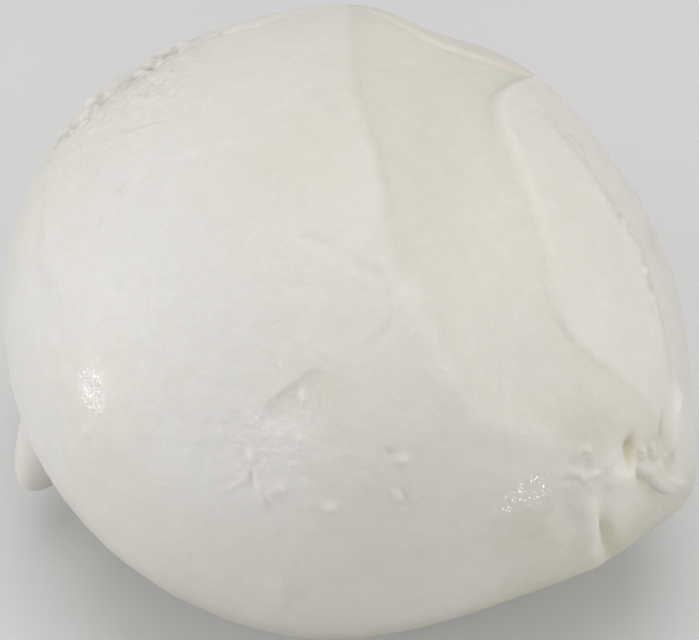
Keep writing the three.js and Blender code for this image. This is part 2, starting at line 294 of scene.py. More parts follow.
def fading(fold, share, beyond):
    """1 along a fold, fading at its start, at its end and past both."""
    full = bell(beyond / fold.get("reach", USUAL_END)) * (1 - fold.get("loss", 0) * share)
    if fold.get("start"):
        full = full * smooth(share, 0, fold["start"])
    if fold.get("end"):
        full = full * smooth(1 - share, 0, fold["end"])
    return full


def rounded_step(t):
    """From 0 at -1 to 1 at 1, steep at its foot and level at its top."""
    t = np.clip((t + 1) / 2, 0, 1)
    return np.sqrt(t * (2 - t))


def profile(fold, points, normals):
    """The fold's height over each point, as a share of its full height."""
    x, share, beyond, gap = place_on(fold["laid"], points, normals)
    if fold["kind"] == "bell":
        return bell(gap / wide(fold["radius"]))
    if fold["kind"] == "roll":
        return dome(gap / wide(fold["radius"]))
    if fold["kind"] == "ridge":
        x = x - fold.get("offset", 0)
        widths = np.where(x > 0, wide(fold["left"]), wide(fold["right"]))
        return bell(x / widths) * fading(fold, share, beyond)
    run = wide(fold["run"])
    thinning = np.exp(-np.maximum(x - run, 0) / fold["fade"])
    return rounded_step(x / run) * thinning * fading(fold, share, beyond)


def reach_of(fold):
    """Further from its line than this, a fold changes nothing that one could see."""
    widths = [fold.get(key, 0) for key in ("left", "right", "run", "radius", "reach")]
    across = BELL_REACH * max(widths) + LAP_REACH * fold.get("fade", 0)
    return across + abs(fold.get("offset", 0)) + 1


def over(fold, points, normals):
    """profile, worked out only for the points that the fold can reach."""
    line = fold["laid"]
    margin = reach_of(fold)
    inside = (points > line.min(0) - margin) & (points < line.max(0) + margin)
    near = inside.all(1)
    share = np.zeros(len(points))
    if near.any():
        share[near] = profile(fold, points[near], normals[near])
    return share


def make_fold(kind, height, line, **sizes):
    return {"kind": kind, "height": height, "laid": lay_line(line), **sizes}


def ridge(height, left, right, line, **sizes):
    return make_fold("ridge", height, line, left=left, right=right, **sizes)


def lap(height, run, fade, line, **sizes):
    return make_fold("lap", height, line, run=run, fade=fade, **sizes)


def lump(height, radius, line):
    return make_fold("bell", height, line, radius=radius)


def roll(height, radius, line):
    return make_fold("roll", height, line, radius=radius)


# %% [markdown]
# ## The large folds
#
# From the top of the ball a lapped edge, the apex line, runs down the face. To its right lies a
# smooth pressed panel, and beyond that a thick lobe of curd ends in a step. Below the panel
# a broad crest turns down to the front. Near the top of the outline the skin is rolled
# back, and leaves a groove.

# %% Large folds
APEX_LINE = [(6, 7), (5, 11), (3.5, 21), (1, 29), (-0.5, 37), (-0.5, 48.5)]
LOBE_LINE = [
    (28, 36), (23.5, 33.5), (22, 31.5), (22, 27.5), (26, 17),
    (28, 9), (29, 1), (33, -4.5), (41.5, -11), (44, -14),
]
CREST_LINE = [(6, 7), (9, 2), (12, -5), (16.5, -11), (22, -15.5), (32, -18)]
SHOULDER_LINE = [(28, 30), (33, 22), (38, 15.5), (42, 9), (44, 2), (46, -5.5), (48, -10)]
LEFT_SIDE_LINE = [
    (-44.5, 27), (-45, 22.5), (-45, 16), (-45.5, 10.5), (-43.5, 6.5), (-37.5, -1.5),
]
SCAR_LINE = [
    (-0.8, -9), (-3, -8.6), (-5, -8.4), (-6.6, -9.5), (-8.9, -11.2), (-10.8, -12.9),
    (-11.5, -14.2), (-12, -16),
]
RIM_LEFT_LINE = [
    (-4, 47.5), (-10, 47), (-15.5, 45), (-22, 44), (-27.5, 41.5), (-32.5, 37),
    (-38.5, 33), (-46.5, 26),
]
RIM_RIGHT_LINE = [(0.5, 48), (4, 47.5), (12.5, 43.5), (22, 39), (28, 37)]
ARC_SMALL_LINE = [(-8, 10.5), (-6, 10.5), (-4, 10), (-2.5, 8.5)]
ARC_BIG_LINE = [(-1.5, 7.5), (3.5, 5.5), (5.5, 0.5), (4, -3.5), (1, -5)]

panel = ridge(
    -1.6, 8.5, 8.5, [(13.5, 51), (12.5, 33), (15, 18), (21, -1.5), (27.5, -10), (35.5, -16.5)],
    end=0.3, reach=6,
)
apex = lap(0.4, 1.1, 6, APEX_LINE, start=0.35)
crest = ridge(0.7, 3.5, 4, CREST_LINE, start=0.2, end=0.3)
valley = ridge(
    -0.35, 1.1, 1.1, [(10, 3), (11.5, 0), (12.5, -4.5), (14.5, -7.5)], start=0.3, end=0.4
)
lobe = lap(1.25, 1, 15, LOBE_LINE, loss=0.95, reach=3)
lobe_foot = ridge(-0.15, 2.4, 2.4, LOBE_LINE, offset=-2.2, loss=0.95, reach=3)
shoulder = ridge(0.6, 1.8, 3, SHOULDER_LINE, start=0.2, end=0.2)
left_side = ridge(0.6, 4, 1.8, LEFT_SIDE_LINE, start=0.2, end=0.4)
rim_right = ridge(-1.1, 0.7, 0.7, RIM_RIGHT_LINE, start=0.1)
rim_left = ridge(-1.5, 0.9, 1.2, RIM_LEFT_LINE, offset=0.6, start=0.3, end=0.1)
scar = lap(-0.45, 0.9, 4, SCAR_LINE, start=0.45, end=0.15)
arc_small = ridge(-0.2, 0.6, 0.6, ARC_SMALL_LINE, start=0.3, end=0.3)
arc_big = ridge(-0.28, 0.8, 0.8, ARC_BIG_LINE, start=0.3, end=0.3)
large_folds = [
    panel, apex, crest, valley, lobe, lobe_foot, shoulder, left_side,
    rim_right, rim_left, scar, arc_small, arc_big,
]
print(len(large_folds), "large folds")

# %% [markdown]
# ## The knot
#
# Where the curd was pinched off, it is drawn together beside a pit: an ear, three beads, and
# a thick curled lip with an undercut below it. A crease with one steep wall runs down from the
# hump beside them. Beads don't add up, they butt against each other, so the highest of them
# counts.

# %% The knot
CREASE_LINE = [(40, -37.6), (38.2, -34.6), (37, -31.6), (36.2, -29.2), (36, -27.4), (36.3, -26)]
FURROW_LINE = [(46, -13.4), (45.8, -16.4), (45.8, -19.4)]
LIP_LINE = [
    (42.9, -21.6), (44.3, -23.2), (46, -24.9), (48.2, -25.9), (50, -25.6), (50.8, -24.2),
    (51, -22.4),
]
PIT_LINE = [(40, -19.1), (40.2, -20.8)]

crease = ridge(-1.6, 0.8, 1.5, CREASE_LINE, start=0.75, end=0.35, reach=1)
crease_side = ridge(0.7, 2.2, 2.2, CREASE_LINE, offset=2.6, start=0.5, end=0.2, reach=2)
furrow = ridge(-0.4, 0.6, 0.6, FURROW_LINE, start=0.5, end=0.3)
lip = lap(1.5, 1.3, 1.8, LIP_LINE, start=0.15, end=0.4)
ear = lump(1, 1.5, [(48.7, -12.5), (47.9, -15.5), (47.8, -18.7)])
lip_belly = lump(0.7, 1.6, [(46.8, -23.9), (49.6, -24.4)])
undercut = ridge(-0.5, 0.4, 1.4, LIP_LINE, offset=-1.2, start=0.15, end=0.75)
hump = lump(1, 2, [(37.9, -23.5), (39.7, -23.5)])
hump_groove = ridge(
    -0.7, 0.5, 0.9, [(41.5, -21.6), (42.2, -23.4), (43.4, -25.2)], start=0.3, end=0.3
)
pucker = lump(-0.4, 1.4, [(46.4, -22.2), (48.4, -21.6)])
pit = ridge(-0.75, 1.2, 1.1, PIT_LINE, reach=1.1)
pit_shade = lump(-0.25, 1.2, [(40.4, -17.8), (40.6, -18.6)])
knot_folds = [
    crease, crease_side, furrow, ear, lip, lip_belly, undercut, hump, hump_groove, pucker, pit,
    pit_shade,
]

beads = [
    roll(1, 0.7, [(42.1, -19.6), (42.1, -20.5)]),
    roll(0.8, 0.85, [(44.1, -19.5), (44.1, -20.2)]),
    roll(0.6, 0.6, [(46, -20.5), (46, -20.7)]),
]
print(len(knot_folds), "folds and", len(beads), "beads in the knot")

# %% [markdown]
# ## Wrinkles, tears and flakes
#
# The skin of pulled curd is never smooth. It cracks into thin scales where it was stretched
# most, it tears and leaves shreds, and it carries small warts and flakes of curd. Those that
# one can tell apart are placed one by one with the same kinds of fold, a few tenths of
# a millimetre high.

# %% Wrinkles, tears and flakes
cracks = [
    lap(0.5, 0.3, 1.4, [(-28.2, 33.6), (-29.6, 33.2), (-29.8, 32), (-31.8, 32.6)], start=0.2),
    lap(0.35, 0.3, 1.4, [(-28.4, 27.6), (-30.8, 27.2), (-32.6, 26.6), (-34.8, 26.6), (-36.4, 25)]),
    ridge(-0.35, 0.3, 0.3, [(31.4, 26.6), (33.4, 26.2), (34.6, 24.4), (35, 23)], start=0.2),
]
SHORT_CRACKS = [  # height, fading, line
    (-0.3, 1.6, [(-31.6, 19.8), (-33, 18.8), (-34.4, 17.2)]),
    (-0.25, 1.6, [(-35.6, 14.2), (-36.2, 13.4), (-36.6, 12.2)]),
    (-0.4, 2, [(-44.6, 11.6), (-46.2, 10.8), (-46.6, 9.2)]),
    (0.25, 1.4, [(-28.8, 19.8), (-30.6, 18)]),
    (0.3, 1.4, [(-38.6, 20.6), (-37.6, 21.6), (-36.8, 20.8), (-38, 19.4)]),
    (0.3, 1.4, [(-33.6, 23), (-32.2, 23.8), (-31, 23.4)]),
    (0.25, 1.4, [(-24.6, 29.6), (-23.6, 30.8), (-22, 30.6), (-21.8, 29.4)]),
]
for crack_height, crack_fade, crack_line in SHORT_CRACKS:
    cracks.append(lap(crack_height, 0.3, crack_fade, crack_line, start=0.3, end=0.3))
wrinkles = [
    ridge(-0.35, 0.35, 0.5, [(29.4, -23.8), (30.6, -23.4), (32, -23.2)], start=0.3, end=0.3),
    ridge(-0.3, 0.4, 0.6, [(29.2, -27.4), (27.6, -28.2), (26.4, -29.6)], start=0.4, end=0.4),
    ridge(-0.3, 0.5, 0.8, [(27.6, -31), (26, -31.6), (24.4, -33)], start=0.4, end=0.4),
    ridge(-0.2, 0.4, 0.5, [(29.8, -26), (28, -26.4), (26.6, -27.6)], start=0.4, end=0.4),
    ridge(0.45, 0.5, 0.5, [(32.6, -23.2), (34.6, -22.8), (35.8, -22.4), (36.6, -21.4)], start=0.3),
    ridge(0.5, 1.2, 1.2, [(33.4, -25.4), (34.2, -28.2), (34.6, -31), (34.4, -34.2)], start=0.3),
    lump(-0.7, 2.2, [(30.8, -26.8), (31.2, -29.4)]),
    ridge(0.45, 0.35, 0.35, [(31.8, -20.6), (32, -19.4), (33.4, -19.2), (33.9, -20.6)], start=0.2),
    ridge(0.4, 0.3, 0.35, [(29.6, -22.8), (30.8, -22.2), (32.2, -22.6), (33.8, -24.2)], start=0.2),
    ridge(0.25, 0.3, 0.3, [(44.6, -29), (47.2, -30.2), (50, -31.2)], start=0.3, end=0.3),
    ridge(-0.4, 0.5, 0.7, [(34.4, -40.4), (36.6, -39.6), (38.6, -38.6)], start=0.3, end=0.3),
    ridge(-0.6, 0.5, 0.5, [(51.4, -29.4), (53.2, -28.6)]),
]
shreds = [
    ridge(0.2, 0.4, 0.4, [(-14.2, -17.4), (-14, -20.2), (-14.6, -22.6), (-16.6, -24)], start=0.3),
    ridge(0.3, 0.4, 0.4, [(-14.2, -17.4), (-13.6, -20.4), (-13, -23), (-12.4, -25.8)], start=0.3),
    ridge(-0.25, 0.5, 0.4, [(-14, -19), (-13.8, -22), (-14, -25)], start=0.4, end=0.4),
    ridge(0.2, 0.4, 0.4, [(-6.6, -11), (-6, -12.4), (-5.6, -14), (-6.8, -15.6)], end=0.3),
    lump(0.3, 0.6, [(-6.8, -11), (-6.4, -11.6)]),
    lump(0.25, 0.9, [(-11.6, -24.6), (-9.4, -24)]),
]
flakes = [
    lump(0.5, 0.65, [(-3.1, -26.7), (-2.8, -26.6)]),
    lump(0.5, 0.45, [(6.2, -24.4), (6.5, -25.4)]),
    lump(0.45, 0.6, [(6.9, -20.1), (7.3, -19.8)]),
    lump(-0.4, 0.5, [(5.3, -18.8), (5.3, -19.1)]),
    lump(-0.2, 0.4, [(7.2, -24.6), (7.4, -26.2)]),
    lump(0.25, 0.35, [(2.8, -23.2), (2.6, -24.4)]),
    lump(0.25, 0.35, [(-4.4, -32), (-4, -31.3)]),
    lump(0.4, 0.8, [(-22.6, 23.2), (-22.2, 22.8)]),
    lump(0.5, 0.9, [(44.4, 18.8), (44.2, 18.2)]),
    lap(0.35, 0.5, 3, [(-12.6, -44.4), (-10.6, -43), (-9.6, -41.2), (-9.4, -38.4)], start=0.2),
    ridge(-0.25, 1.2, 0.8, [(-6.4, -37), (-6.8, -43)], start=0.4, end=0.4),
]
fine_folds = cracks + wrinkles + shreds + flakes
print(len(fine_folds), "fine folds")

# %% [markdown]
# ## Scales, crumbs and slow swells
#
# What can't be told apart is made by noise, in patches. Along the upper left rim the skin has
# broken into scales, and over the edge into crumbs: cells of uneven height. Warts are cells
# of another noise, of which only the rare highest ones show. Where the skin is torn, thin
# strands cling together in a web, along which a soft noise changes its sign. Slow swells keep
# the sides and the back from being a true ellipsoid.

# %% Noise for the skin
SWAY = 0.35
SWAY_LENGTH = 14


def swell(points):
    x, y, z = (points / SWAY_LENGTH).T
    waves = np.sin(x + 1.3 * y) + np.sin(y - 1.1 * z + 2) + np.sin(z + 0.9 * x + 4)
    return SWAY / 3 * waves


def noise_at(points, size, seed=0.0):
    """Soft noise from about -1 to 1. The size of its lumps may differ along the three axes."""
    places = points / np.array(size) + seed
    return np.array([noise.noise(Vector(p)) for p in places.tolist()])


def cells_at(points, size, seed=0.0):
    """For each point: distance to its cell's middle, gap to the edge, the cell's own number."""
    rows = []
    for p in (points / np.array(size) + seed).tolist():
        distances, middles = noise.voronoi(Vector(p))
        own = 0.5 + 0.5 * noise.cell(middles[0] * 7.3)
        rows.append((distances[0], distances[1] - distances[0], own))
    return np.array(rows).T


def patches(places, points):
    """Soft round patches: u, v, radius and strength of each."""
    total = np.zeros(len(points))
    for u, v, radius, strength in places:
        middle = skin_at(np.array([[u, v]], float))[0]
        total += strength * bell(length(points - middle) / radius)
    return total


# %% Scales, crumbs, warts and torn skin
SCALE_AXES = unit(np.array([(0.88, 0.47, 0.0), (-0.47, 0.88, 0.0), (0.0, 0.0, 1.0)]))
SCALE_SIZE = (3.6, 1.7, 3.0)  # along the rim, across it, into the ball
SCALE_HEIGHT = 0.6
CRUMB_SIZE = (3.4, 1.6, 2.6)  # on the same axes
CRUMB_HEIGHT = 1.2
SMALL_CRUMB, SMALL_CRUMB_HEIGHT = 1.9, 0.6
SKIN_WAVES = [(4.5, 0.12), (2.0, 0.07), (1.0, 0.05)]  # size and height of the skin's unevenness
WART_SPACING, WART_RADIUS, WART_HEIGHT = 3.4, 0.42, 0.3
FLECK_SPACING, FLECK_RADIUS, FLECK_HEIGHT = 1.9, 0.24, 0.15
WEB_SIZE = (1.5, 2.4, 2.0)
WEB_HEIGHT = 0.2
STRAND_WIDTH = 0.12  # as a share of the noise's range
TORN_PATCHES = [  # u, v, radius, strength
    (-11, -14.5, 3.6, 0.9), (-12.6, -19, 3.6, 1), (-13.5, -24, 3.2, 1), (-6.4, -14, 3, 0.9),
    (-8.6, -19, 3.2, 0.8), (-17, -21.5, 3, 0.5), (-9.5, -25, 3, 0.6),
]


def at_inner_rim(points, normals):
    return over(ridge(1, 12, 1.5, RIM_LEFT_LINE[2:], start=0.15), points, normals)


def scales(points, normals):
    share = at_inner_rim(points, normals)
    patchy = smooth(noise_at(points, 6, 3.1), -0.45, 0.3) * share
    _, gap, own = cells_at(points @ SCALE_AXES.T, SCALE_SIZE, 0.4)
    return SCALE_HEIGHT * patchy * (own * smooth(gap, 0, 0.25) - 0.4)


def crumbs(points, share, size):
    """Lumps of uneven height where share is above 0, and how deep each point is in a gap."""
    moved = points + 0.5 * noise_at(points, 1.5)[:, None]
    _, gap, own = cells_at(moved, size, 5.2)
    lumps = (0.2 + 0.8 * own) * smooth(gap, 0, 0.5)
    return share * lumps, share * (1 - smooth(lumps, 0, 0.35))


def rim_crumbs(points, normals):
    broken_rim = ridge(1, 3.2, 5, [*RIM_LEFT_LINE[2:], (-50, 20)], start=0.35, end=0.2)
    share = over(broken_rim, points, normals)
    uneven = smooth(noise_at(points, 4, 6.1), -0.8, 0.2)
    return crumbs(points @ SCALE_AXES.T, share * uneven, CRUMB_SIZE)


def shoulder_crumbs(points, normals):
    share = over(ridge(1, 1.4, 1.6, SHOULDER_LINE, start=0.1, end=0.1), points, normals)
    return crumbs(points, share * smooth(noise_at(points, 5, 1.7), -0.3, 0.3), SMALL_CRUMB)


def warts(points, spacing, radius, seed):
    """Small round lumps in the middle of some cells, those with a high number of their own."""
    distance, _, own = cells_at(points, spacing, seed)
    return smooth(own, 0.55, 0.9) * bell(distance * spacing / radius)


def flecks(points):
    """Tiny white flecks on the lower face."""
    return warts(points, FLECK_SPACING, FLECK_RADIUS, 9.1) * smooth(-points[:, 1], -2, 10)


def web(points):
    """Strands along the places where a soft noise is near 0, broken here and there."""
    bent = points + 0.9 * noise_at(points, 2.6, 4.4)[:, None]
    strands = 1 - np.abs(noise_at(bent, WEB_SIZE, 7.7)) / STRAND_WIDTH
    broken = smooth(noise_at(points, 1.6, 2.2), -0.25, 0.25)
    return np.clip(patches(TORN_PATCHES, points), 0, 1) * smooth(strands, 0, 1) * broken


def skin_relief(points, normals):
    """The relief that noise makes on the face."""
    height = scales(points, normals) + CRUMB_HEIGHT * rim_crumbs(points, normals)[0]
    height += SMALL_CRUMB_HEIGHT * shoulder_crumbs(points, normals)[0]
    return height + WEB_HEIGHT * web(points) + FLECK_HEIGHT * flecks(points)


def skin_waves(points):
    """The fine unevenness that the whole skin has."""
    waves = sum(height * noise_at(points, size, size) for size, height in SKIN_WAVES)
    return waves + WART_HEIGHT * warts(points, WART_SPACING, WART_RADIUS, 2.5)


# %% [markdown]
# ## Putting the relief together
#
# The heights of all the folds are added up and laid over the plain ball along its normals. They
# fade out towards the back, where the slow swells take over. Then the tail is drawn out of the
# side, as a drop of soft dough would be, and whatever would sink into the table is pressed flat
# on it with a rounded edge.

# %% From a direction to the finished skin
RELIEF_FROM, RELIEF_FULL = -12, 4  # w between which the folds of the face die out
TABLE_SOFT = 2.2  # height over which the skin rounds off onto the table
TAIL_AT = np.array([-46.5, -16.2, -11.0])
TAIL_PULL = np.array([-6.8, -11.8, -0.4])
TAIL_REACH = 8.9
TAIL_SHARPNESS = 2


def relief(points, normals):
    """Height of the face's folds over the plain ball."""
    folds = large_folds + knot_folds + fine_folds
    height = sum(each["height"] * over(each, points, normals) for each in folds)
    height += np.maximum.reduce([each["height"] * over(each, points, normals) for each in beads])
    return height + skin_relief(points, normals)


def soft_floor(z):
    rolled = (z + TABLE_SOFT) ** 2 / (4 * TABLE_SOFT)
    return np.where(z <= -TABLE_SOFT, 0, np.where(z >= TABLE_SOFT, z, rolled))


def ball_skin(directions):
    """Points of the finished skin in the ball's own axes, and of the plain one on the face."""
    plain, normals = plain_ball(directions)
    front = smooth(plain[:, 2], RELIEF_FROM, RELIEF_FULL)
    height = (1 - front) * swell(plain) + skin_waves(plain)
    facing = front > 0
    height[facing] += front[facing] * relief(plain[facing], normals[facing])
    points = plain + height[:, None] * normals
    pulled = dome(length(points - TAIL_AT) / TAIL_REACH) ** TAIL_SHARPNESS
    points += pulled[:, None] * TAIL_PULL
    points = points @ FACE
    points[:, 2] = soft_floor(points[:, 2] + TABLE_DROP)
    return points, plain, normals


# %% [markdown]
# ## The mesh
#
# A cube with finely divided faces, blown up to a sphere, has no poles where faces crowd
# together, as a round-the-world sphere has. The tangent evens out the faces on the way.
# Then the points are drawn towards the places that carry the finest detail: the face, the
# knot and the tail.

# %% A sphere of points, crowded where the detail is
CUTS = 127
CROWDS = [  # where on the face, how strongly, over what part of the sphere
    ((-4, 2, 52), 0.3, 1.0),
    ((46, -25, 20), 0.62, 0.38),
    ((-47, -20, -11), 0.45, 0.25),
    ((-34, 36, 16), 0.4, 0.35),
    ((-11, -18, 46), 0.3, 0.28),
]


def crowded(directions):
    facing = directions @ FACE.T
    for place, share, spread in CROWDS:
        middle = unit((np.array(place) @ FACE / HALF_AXES) @ FACE.T)
        offset = middle - facing
        pull = share * np.exp(-(offset**2).sum(1) / (2 * spread**2))
        facing = unit(facing + pull[:, None] * offset)
    return facing @ FACE


def read_rows(items, name):
    """Three numbers of each item, such as the place or the normal of a vertex."""
    values = np.zeros(3 * len(items))
    items.foreach_get(name, values)
    return values.reshape(-1, 3)


def cube_sphere():
    """A mesh of a finely divided cube, and the direction in which each of its points lies."""
    build = bmesh.new()
    bmesh.ops.create_cube(build, size=2)
    bmesh.ops.subdivide_edges(build, edges=build.edges[:], cuts=CUTS, use_grid_fill=True)
    mesh = bpy.data.meshes.new("mozzarella_ball_skin")
    build.to_mesh(mesh)
    build.free()
    corners = read_rows(mesh.vertices, "co")
    return mesh, crowded(unit(np.tan(corners * math.pi / 4)))


def make_ball():
    mesh, directions = cube_sphere()
    points, plain, normals = ball_skin(directions)
    middle = (points.min(0) + points.max(0)) / 2
    points[:, :2] -= middle[:2]
    mesh.vertices.foreach_set("co", (points * MM).ravel())
    mesh.polygons.foreach_set("use_smooth", np.ones(len(mesh.polygons), bool))
    mesh.update()
    ball = bpy.data.objects.new("mozzarella_skin", mesh)
    bpy.context.scene.collection.objects.link(ball)
    print("moved by", middle[:2].round(2), "mm onto the middle of the box")
    return ball, plain, normals


ball, plain_points, plain_normals = make_ball()
print(ball.name, "has", len(ball.data.polygons), "faces")

# %% [markdown]
# ## Colour zones
#
# White isn't one colour. The panel is cream where whey has dried on it, and the crumbs and the
# torn flakes are whiter than the rest. The crest is whiter too, partly as a painted highlight, and
# there is more painted light on the lobe's edge, the lip's side and the tail. Painted shade lies
# in the gaps between the crumbs, along cracks and the foot of edges, in the hollows over the
# yellow-brown of gathered whey, and along the bottom and the sides where they turn away. Each zone
# is stored as a soft mask on the mesh, a number from 0 to 1 at each point, which the material
# reads by name.
#
# Painting the zones by hand would do as well. Here they follow the same lines as the folds, so
# that a fold and its colour move together.

# %% Masks on the mesh
SMOOTHINGS = 2


def store(mesh, name, values):
    layer = mesh.attributes.new(name, "FLOAT", "POINT")
    layer.data.foreach_set("value", np.clip(values, 0, 1).astype(np.float32))
    print(f"mask {name}: mean {values.mean():.3f}, most {values.max():.2f}")


def left_of(line, points, normals, soft):
    """1 on the left of a line and 0 on its right, with a soft change."""
    x = place_on(lay_line(line), points, normals)[0]
    return smooth(x, -soft, soft)


def hollowness(mesh, points, normals):
    """How hollow the skin is at each point, per millimetre.

    In a hollow, a point's neighbours lie further out along its normal than it does itself.
    """
    ends = np.zeros(2 * len(mesh.edges), int)
    mesh.edges.foreach_get("vertices", ends)
    first, second = ends.reshape(-1, 2).T
    offset = points[second] - points[first]
    total = np.zeros((len(points), 3))
    np.add.at(total, first, offset)
    np.add.at(total, second, -offset)
    spread = np.zeros(len(points))
    for end in (first, second):
        np.add.at(spread, end, (offset**2).sum(1))
    bend = 2 * (total * normals).sum(1) / spread
    count = np.bincount(ends, minlength=len(points))
    for _ in range(SMOOTHINGS):
        around = np.bincount(first, bend[second], len(points))
        around += np.bincount(second, bend[first], len(points))
        bend = 0.5 * bend + 0.5 * around / count
    return bend


# %% Soft patches of each shade, as u, v, radius and strength
CREAM_PATCHES = [
    (-7, 22, 11, 0.7), (1, 34, 9, 0.4), (36, -36, 12, 0.5), (0, -46, 14, 0.35),
    # The first three patches on the next line are painted shade in the scar's hollow, over its
    # brownish skin.
    (-5.5, -10.5, 3, 0.6), (-9.5, -13, 2, 0.5), (-2, -10, 2.5, 0.5), (6, -22, 5, 0.3),
]
PANEL_LIGHT = [(22, 0, 13, 0.7)]  # where the panel is less creamy
MILK_PATCHES = [
    (-34, 8, 15, 0.6), (-18, 0, 14, 0.6), (-24, 22, 12, 0.45), (-12, -22, 10, 0.6),
    (22, -17, 8, 0.2), (-24, -20, 8, 0.6), (-44, -20, 9, 0.5), (-50, 0, 12, 0.6),
    (-52, -24, 12, 0.9), (-38, -36, 12, 0.4),
]
BUTTER_PATCHES = [
    (30, 16, 12, 0.45), (37, 0, 10, 0.3), (18, 6, 10, 0.5), (40, -23, 3, 0.8), (8, 42, 8, 0.5),
    (45, -24, 2.5, 0.7), (49, -16, 3, 0.5),
]
# Whey, and painted shade: the patches along the bottom and the side edges darken them as shade
# does.
WHEY_AND_SHADE_PATCHES = [
    (28, -40, 9, 0.55), (26, -45, 5, 0.4), (36, -41, 5, 0.3), (42, -33, 7, 0.65),
    (-2, -50, 14, 0.4), (16, -46, 10, 0.4), (26, -30, 8, 0.35), (-22, -42, 10, 0.3),
    (-38, -28, 10, 0.1), (45, -20, 5, 0.45), (34, -17, 6, 0.3), (10, -30, 14, 0.15),
    (42.5, 21, 4, 0.1), (46, 11, 3.5, 0.3),
    (-48.5, 22, 3, 0.12), (-50, 15, 3, 0.12), (-51.5, 8, 3, 0.12),
]
# Painted light that lightens the tail where it lies in shade.
TAIL_PAINTED_LIGHT = [(-50, -22, 8, 1)]
ROUGH_PATCHES = [(-30, 10, 14, 0.7), (-12, -18, 7, 0.8), (34, -24, 5, 0.6), (-12, 4, 12, 0.4)]
WET_PATCHES = [
    (-37, -9.4, 2.2, 1), (-36.6, -12.6, 2, 1), (22.4, -26.2, 1.5, 1), (25, -25, 1.8, 1),
    (27.2, -23.4, 1.5, 0.8), (-25.6, -20.6, 0.9, 0.4), (-24.4, -21, 0.7, 0.3),
]

# %% [markdown]
# Each shade is a sum of shares. A share says where something is, from 0 to 1, and the number
# in front of it says how strongly it tints.

# %% Shares and their sum


def band(points, normals, left, right, line, **sizes):
    """1 on a line, fading out over these widths on its left and right."""
    return over(ridge(1, left, right, line, **sizes), points, normals)


def add_up(*pairs):
    """The sum of shares, each given with its strength."""
    return sum(strength * share for strength, share in pairs)


# %% Cream: the panel
PANEL_CREAM, FOOT_SHADE = 0.8, 0.3


def panel_share(points, normals, front):
    """1 on the pressed panel between the apex line, the lobe and the crest."""
    inside = (1 - left_of(APEX_LINE, points, normals, 0.7)) * front
    inside *= left_of(CREST_LINE, points, normals, 1.5)
    return inside * (1 - left_of(LOBE_LINE, points, normals, 0.5))


def cream_mask(points, normals, in_panel):
    """Cream on the panel, with more of it as painted shade along the foot of its two edges."""
    # painted shade at the foot of the apex line and of the lobe's step
    foot = band(points, normals, 0.5, 2, APEX_LINE, offset=-1)
    foot += band(points, normals, 0.5, 2.4, LOBE_LINE, offset=-0.8, loss=0.8)
    cream = in_panel * (PANEL_CREAM + FOOT_SHADE * foot - patches(PANEL_LIGHT, points))
    return cream + patches(CREAM_PATCHES, points) * (1 - in_panel)


# %% Pale: fresh curd, and painted light on the crest, the lobe's edge and the lip's side


# Paler curd, and painted highlights: partly on the crest, on the lobe's lit edge, and on the lip's
# steep side, which lies in shade.
def pale_and_painted_light_mask(points, normals, rim_lumps, shoulder_lumps):
    crest_pale_and_lit = band(points, normals, 1.4, 1.6, CREST_LINE, offset=-0.6, start=0.3, end=0.15)
    lobe_edge_highlight = band(points, normals, 0.5, 0.25, LOBE_LINE, offset=0.4, loss=1)
    lip_side_light = band(points, normals, 0.8, 0.8, LIP_LINE, offset=-0.6, end=0.4)
    large_flakes = sum(over(each, points, normals) for each in flakes[:3])
    return add_up(
        (0.2, crest_pale_and_lit), (0.5, lobe_edge_highlight), (0.5, lip_side_light), (0.5, over(ear, points, normals)),
        (0.9, web(points)), (0.25, patches(TORN_PATCHES, points)), (0.6, flecks(points)),
        (0.5, large_flakes), (0.25, rim_lumps), (0.4, shoulder_lumps),
        (1, patches(TAIL_PAINTED_LIGHT, points)),
    )


# %% Whey and painted shade: olive whey that is partly painted shade, and grey painted shade in gaps and cracks


# Olive whey, and painted shade beyond the shoulder, along the bottom and in the gaps between
# crumbs.
def whey_and_shade_mask(points, normals, front, turned_away_shade, shoulder_gaps):
    past_shoulder = left_of(SHOULDER_LINE, points, normals, 1) * front
    past_shoulder *= smooth(points[:, 0], 10, 24) * smooth(points[:, 1], -20, -10)
    return add_up(
        (0.1, past_shoulder), (0.5, turned_away_shade), (0.4, shoulder_gaps),
        (1, patches(WHEY_AND_SHADE_PATCHES, points)),
    )


def crack_shadow_share(points, normals):
    """1 along the foot of each crack's edge, where a painted shadow goes."""
    foot = {"kind": "ridge", "left": 0.3, "right": 0.3, "offset": -0.2}
    return sum(over({**crack, **foot}, points, normals) for crack in cracks)


# Grey painted shade: in the groove along the upper left rim, in the gaps between crumbs, along the
# foot of cracks and where the sides turn away.
def painted_shade_mask(points, normals, front, turned_away_shade, rim_gaps):
    rim_groove_shade = band(points, normals, 1.4, 1.6, RIM_LEFT_LINE, offset=0.8, start=0.3, end=0.3)
    rim_groove_shade *= smooth(noise_at(points, 1.3, 8.8), -0.25, 0.25)
    # painted shade where the left side turns away
    left_edge_shade = smooth(normals[:, 2], 0.4, 0) * smooth(-points[:, 0], 20, 40) * front
    return add_up(
        (0.35, rim_groove_shade), (0.45, rim_gaps), (0.35, turned_away_shade), (0.1, crack_shadow_share(points, normals)),
        (0.12, left_edge_shade),
    )


# %% Hollow: yellow-brown where whey has gathered, and painted shade in the crevices, the crease and under the lip
KNOT_SURROUNDS = 20  # how far round the knot the hollows are more yellow


